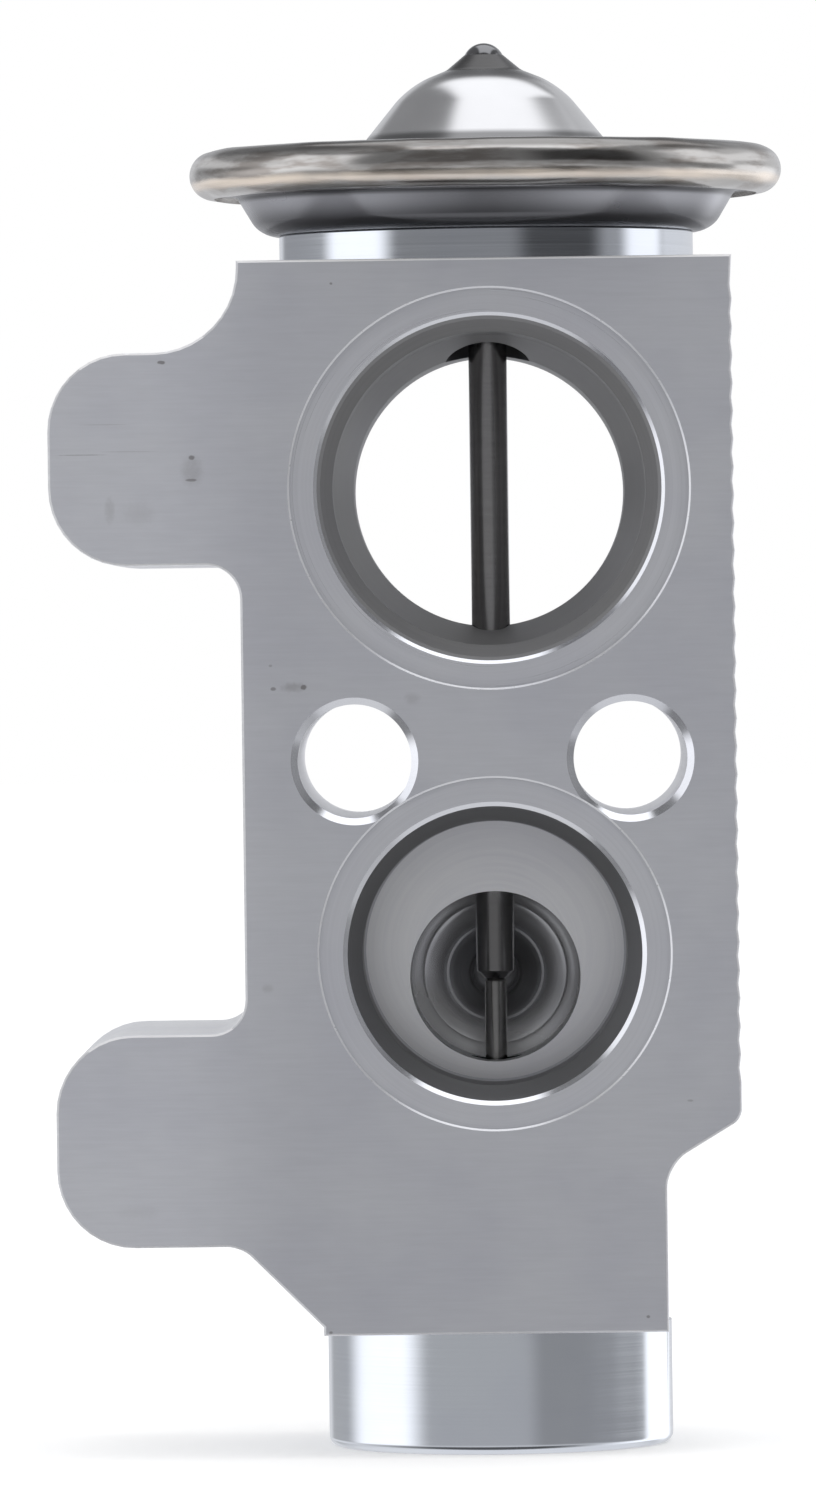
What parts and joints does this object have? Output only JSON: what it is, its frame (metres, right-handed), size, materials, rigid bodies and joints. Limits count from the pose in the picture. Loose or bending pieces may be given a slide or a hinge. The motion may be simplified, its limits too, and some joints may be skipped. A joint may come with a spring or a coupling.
{
  "type": "block expansion valve",
  "caption": "Ported aluminium block with two side ears, a domed diaphragm head on top, a push rod across the upper passage and an adjusting screw in the foot.",
  "frame": {"origin": "on the valve axis, level with the two bolt holes and halfway through the block's thickness", "axes": "+Z along the valve axis towards the power head, -Y out of the evaporator side, +X away from the ears"},
  "size_m": [0.0431, 0.035, 0.0826],
  "materials": {
    "block": "finely brushed, with turned bosses and bores",
    "cup": "pressed stainless, satin grey",
    "foil": "thin rolled stainless",
    "dome": "pressed stainless, smooth",
    "plug": "polished",
    "weld": "weld bead with a warm heat tint",
    "seal": "moulded black rubber",
    "support": "turned",
    "rod": "ground",
    "pin": "ground",
    "ball": "lapped",
    "carrier": "turned",
    "damper": "thin spring sheet",
    "spring": "drawn wire",
    "screw": "turned, with a hex socket"
  },
  "bodies": {
    "block": {"valve_body": "block", "head_lower_cover": "cup", "head_diaphragm": "foil", "head_upper_cover": "dome", "charge_plug": "plug", "rim_weld": "weld", "head_seal_ring": "seal", "bias_spring": "spring"},
    "stem": {"diaphragm_support": "support", "push_rod": "rod", "valve_pin": "pin", "valve_ball": "ball", "ball_carrier": "carrier", "damping_ring": "damper"},
    "adjuster_seal": {"adjuster_seal_ring": "seal"},
    "adjuster": {"adjusting_screw": "screw"}
  },
  "joints": [
    {"name": "valve_lift", "type": "slide", "parent": "block", "child": "stem", "axis": [0, 0, 1], "range_m": [-0.0008, 0], "stiffness_N_per_m": 12000, "deforming": ["bias_spring", "head_diaphragm"]},
    {"name": "adjuster_travel", "type": "slide", "parent": "block", "child": "adjuster_seal", "axis": [0, 0, 1], "range_m": [-0.00075, 0.00075]},
    {"name": "adjuster_turn", "type": "hinge", "parent": "adjuster_seal", "child": "adjuster", "pos_m": [0, 0, -0.038], "axis": [0, 0, 1], "range_deg": [-270, 270]}
  ],
  "couplings": [
    {"joint": "adjuster_turn", "follows": "adjuster_travel", "rad_per_m": 6283.2}
  ]
}
